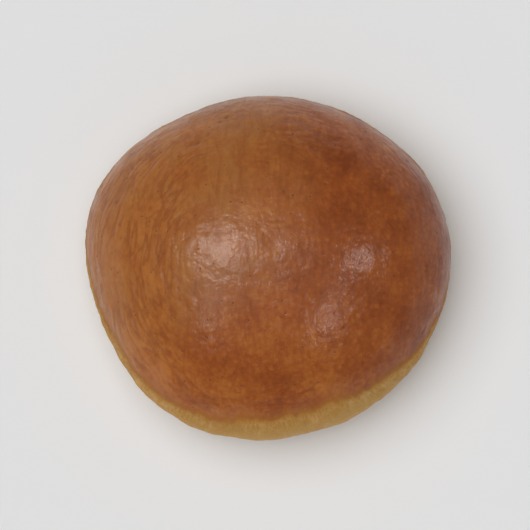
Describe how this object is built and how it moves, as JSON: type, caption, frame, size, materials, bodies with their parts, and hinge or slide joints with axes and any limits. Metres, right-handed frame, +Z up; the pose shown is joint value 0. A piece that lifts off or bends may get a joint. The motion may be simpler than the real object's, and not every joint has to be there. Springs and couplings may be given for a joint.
{
  "type": "brioche bun",
  "caption": "Whole unsliced brioche burger bun: a glossy domed crown over a paler side that tucks in to a flat baked base.",
  "frame": {"origin": "middle of the flat base, on the surface that the bun rests on, under the centre of its outline", "axes": "+Z up through the crown, +X along the longer way across the bun, +Y along the shorter way across"},
  "size_m": [0.103, 0.097, 0.048],
  "materials": {
    "crust": "satin"
  },
  "bodies": {
    "root": {"brioche_bun": "crust"}
  },
  "joints": []
}
